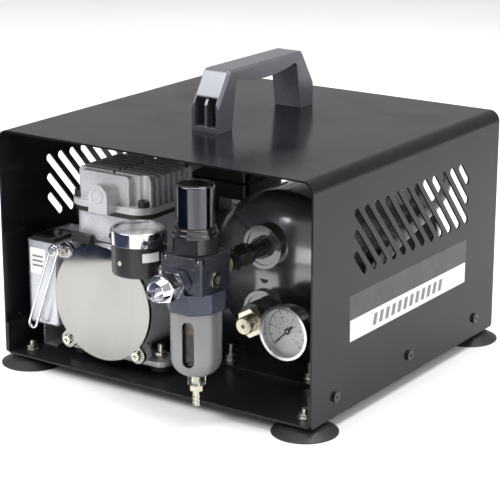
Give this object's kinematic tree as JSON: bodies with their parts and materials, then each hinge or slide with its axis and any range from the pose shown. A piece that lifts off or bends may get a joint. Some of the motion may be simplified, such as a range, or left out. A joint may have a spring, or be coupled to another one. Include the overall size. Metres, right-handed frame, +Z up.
{
  "type": "airbrush compressor",
  "caption": "Portable piston air compressor in a slotted sheet-metal case with carry handle, receiver tank, filter regulator and gauges.",
  "frame": {"origin": "middle of the footprint, on the floor under the suction feet", "axes": "+Z up, +Y from the open front with the regulator towards the open back, +X to the right seen from the front"},
  "size_m": [0.31, 0.359, 0.2385],
  "materials": {
    "black_powder": "satin powder coat",
    "black_gloss": "gloss",
    "handle_grey": "satin",
    "zinc_steel": "zinc plated",
    "black_oxide": "black oxide",
    "black_rubber": "matt",
    "cast_aluminium": "sand cast",
    "polished_steel": "mirror polished",
    "machined_steel": "ground",
    "laminated_iron": "laminated",
    "black_plastic": "fine texture",
    "gloss_black_plastic": "gloss",
    "silver_paint": "satin",
    "brass": "turned",
    "chrome": "bright",
    "dial_white": "matt",
    "needle_black": "matt",
    "clear_window": "clear",
    "grey_metal": "satin",
    "dark_chrome": "glossy",
    "guard_grey": "satin",
    "sintered_bronze": "porous",
    "silver_braid": "braided"
  },
  "bodies": {
    "case": {"base_tray": "black_powder", "bonnet_nut": "black_plastic", "bonnet_screws": "zinc_steel", "cable_gland": "black_plastic", "carry_handle": "handle_grey", "case_screws": "black_oxide", "cover": "black_powder", "crankcase": "cast_aluminium", "crankcase_cover": "polished_steel", "crankcase_screws": "black_oxide", "cylinder": "cast_aluminium", "cylinder_head": "cast_aluminium", "delivery_hose": "silver_braid", "filter_element": "sintered_bronze", "hanger_clip": "chrome", "head_bolts": "black_oxide", "head_gasket": "black_rubber", "inlet_pipe": "black_rubber", "intake_filter": "black_plastic", "motor_end_bell": "cast_aluminium", "motor_housing": "silver_paint", "outlet_adapter": "chrome", "pipe_fittings": "brass", "pressure_switch": "black_plastic", "regulator_body": "grey_metal", "regulator_bonnet": "grey_metal", "regulator_gauge_bezel": "chrome", "regulator_gauge_case": "black_powder", "regulator_gauge_dial": "dial_white", "regulator_gauge_lens": "clear_window", "rubber_mounts": "black_rubber", "safety_valve_body": "brass", "shaft_bearings": "machined_steel", "stator": "laminated_iron", "suction_feet": "black_rubber", "switch_box": "silver_paint", "switch_frame": "black_plastic", "tank_bracket": "black_gloss", "tank_gauge_case": "black_powder", "tank_gauge_dial": "dial_white", "tank_gauge_lens": "clear_window", "tank_manifold": "black_oxide", "tank_shell": "black_gloss", "tray_fasteners": "zinc_steel"},
    "crank": {"crankshaft": "machined_steel", "rotor": "laminated_iron", "cooling_fan": "black_plastic"},
    "piston": {"rocking_piston": "cast_aluminium"},
    "rocker": {"rocker_switch": "gloss_black_plastic"},
    "hanger": {"hanger_wire": "chrome"},
    "tank_needle": {"tank_gauge_needle": "needle_black"},
    "small_needle": {"regulator_gauge_needle": "needle_black"},
    "safety_cap": {"safety_valve_cap": "brass"},
    "spindle": {"regulator_spindle": "machined_steel"},
    "knob": {"regulator_knob": "dark_chrome"},
    "bowl": {"bowl_collar": "grey_metal", "bowl_guard": "guard_grey", "filter_bowl": "clear_window"},
    "drain": {"drain_valve": "brass"},
    "coupling": {"outlet_coupling": "chrome"}
  },
  "joints": [
    {"name": "crank_turn", "type": "hinge", "parent": "case", "child": "crank", "pos_m": [-0.054, 0.0305, 0.0645], "axis": [0, 1, 0], "continuous": true},
    {"name": "piston_stroke", "type": "slide", "parent": "case", "child": "piston", "axis": [0, 0, 1], "range_m": [-0.005, 0.005]},
    {"name": "rocker_tilt", "type": "hinge", "parent": "case", "child": "rocker", "pos_m": [-0.118, -0.0765, 0.1], "axis": [1, 0, 0], "range_deg": [-8, 8]},
    {"name": "hanger_swing", "type": "hinge", "parent": "case", "child": "hanger", "pos_m": [-0.098, -0.1011, 0.1], "axis": [0, 1, 0], "range_deg": [-19, 14]},
    {"name": "tank_needle_turn", "type": "hinge", "parent": "case", "child": "tank_needle", "pos_m": [0.0964, -0.0725, 0.0622], "axis": [0, -1, 0], "range_deg": [-270, 0]},
    {"name": "small_needle_turn", "type": "hinge", "parent": "case", "child": "small_needle", "pos_m": [0.005, -0.125, 0.1414], "axis": [0, 0, 1], "range_deg": [-270, 0]},
    {"name": "safety_pull", "type": "slide", "parent": "case", "child": "safety_cap", "axis": [0, -1, 0], "range_m": [0, 0.002], "stiffness_N_per_m": 2000},
    {"name": "spindle_turn", "type": "hinge", "parent": "case", "child": "spindle", "pos_m": [0.056, -0.125, 0.139], "axis": [0, 0, 1], "range_deg": [-1080, 0]},
    {"name": "knob_lift", "type": "slide", "parent": "spindle", "child": "knob", "axis": [0, 0, 1], "range_m": [0, 0.0035]},
    {"name": "bowl_unlock", "type": "hinge", "parent": "case", "child": "bowl", "pos_m": [0.056, -0.125, 0.089], "axis": [0, 0, 1], "range_deg": [0, 45]},
    {"name": "drain_turn", "type": "hinge", "parent": "bowl", "child": "drain", "pos_m": [0.056, -0.125, 0.029], "axis": [0, 0, 1], "range_deg": [0, 180]},
    {"name": "coupling_release", "type": "slide", "parent": "case", "child": "coupling", "axis": [0, 1, 0], "range_m": [0, 0.003], "stiffness_N_per_m": 1500}
  ]
}
